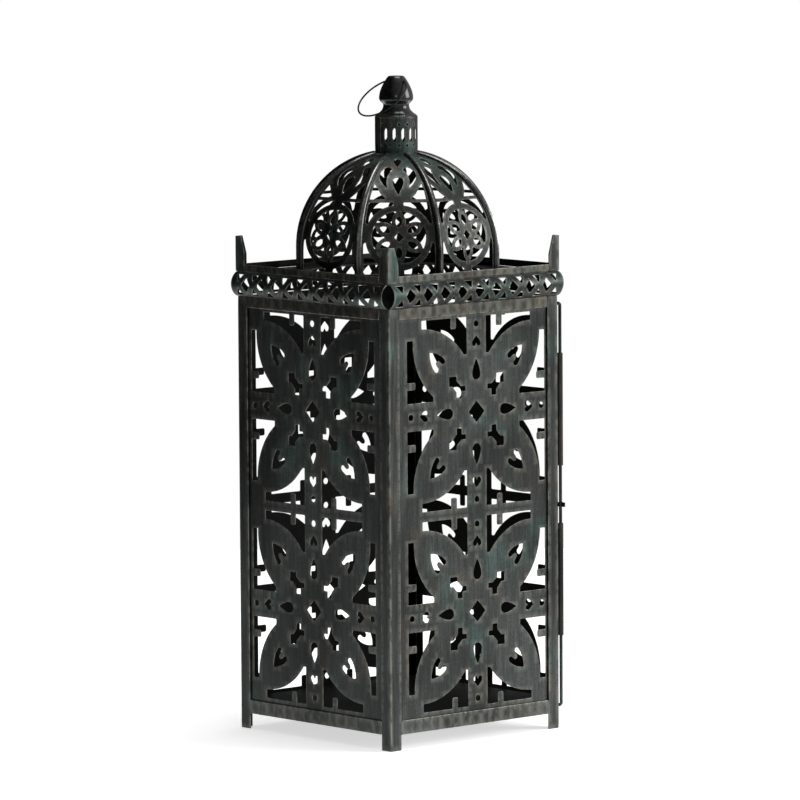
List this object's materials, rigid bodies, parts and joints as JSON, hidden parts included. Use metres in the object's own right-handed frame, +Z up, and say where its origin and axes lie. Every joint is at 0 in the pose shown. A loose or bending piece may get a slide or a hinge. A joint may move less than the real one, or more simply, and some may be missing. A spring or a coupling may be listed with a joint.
{
  "type": "lantern",
  "caption": "Square pierced-metal lantern with a hinged side door, curved eave bands, a ribbed pierced dome, slotted collar, turned knob and hanging ring.",
  "frame": {"origin": "bottom centre, on the surface that the four feet stand on", "axes": "+Z up, +X out of the door face, -Y out of the front face"},
  "size_m": [0.2202, 0.2202, 0.5906],
  "materials": {
    "iron": "dark antique gunmetal, satin, brushed",
    "verdigris": "dark gunmetal with teal verdigris blushes",
    "bronzed": "dark bronze-brown rubbed metal",
    "polished": "soft-gloss dark gunmetal",
    "soot": "near-black inner metal"
  },
  "bodies": {
    "frame": {"corner_post_front_left": "iron", "corner_post_front_right": "iron", "corner_post_back_right": "iron", "corner_post_back_left": "iron", "bottom_rail_front": "iron", "upper_rail_front": "iron", "top_rail_front": "bronzed", "bottom_rail_door_side": "iron", "upper_rail_door_side": "iron", "top_rail_door_side": "bronzed", "bottom_rail_back": "iron", "upper_rail_back": "iron", "top_rail_back": "bronzed", "bottom_rail_left": "iron", "upper_rail_left": "iron", "top_rail_left": "bronzed", "floor_plate": "soot", "corner_finial_front_left": "verdigris", "corner_finial_front_right": "verdigris", "corner_finial_back_right": "verdigris", "corner_finial_back_left": "verdigris", "pierced_panel_front": "verdigris", "pierced_panel_back": "verdigris", "pierced_panel_left": "verdigris", "eave_band_front": "verdigris", "eave_band_door_side": "verdigris", "eave_band_back": "verdigris", "eave_band_left": "verdigris", "roof_plate": "soot", "dome_gore_1": "verdigris", "dome_rib_1": "polished", "dome_gore_2": "verdigris", "dome_rib_2": "polished", "dome_gore_3": "verdigris", "dome_rib_3": "polished", "dome_gore_4": "verdigris", "dome_rib_4": "polished", "dome_gore_5": "verdigris", "dome_rib_5": "polished", "dome_gore_6": "verdigris", "dome_rib_6": "polished", "dome_gore_7": "verdigris", "dome_rib_7": "polished", "dome_gore_8": "verdigris", "dome_rib_8": "polished", "collar": "verdigris", "knob": "polished", "hinge_rod": "iron", "hinge_staple": "iron", "latch_pivot": "iron"},
    "door": {"door_panel": "verdigris", "door_sleeve_lower": "bronzed", "door_sleeve_upper": "bronzed", "latch_stud": "iron"},
    "latch_hook": {"latch_hook": "iron"},
    "hanging_ring": {"hanging_ring": "iron"}
  },
  "joints": [
    {"name": "door_hinge", "type": "hinge", "parent": "frame", "child": "door", "pos_m": [0.105, -0.1015, 0.20325], "axis": [0, 0, -1], "range_deg": [0, 180]},
    {"name": "latch_turn", "type": "hinge", "parent": "frame", "child": "latch_hook", "pos_m": [0.1045, 0.0983, 0.20325], "axis": [-1, 0, 0], "range_deg": [0, 110]},
    {"name": "ring_swing", "type": "hinge", "parent": "frame", "child": "hanging_ring", "pos_m": [0, 0, 0.586], "axis": [0, 1, 0], "range_deg": [-22, 282]}
  ]
}
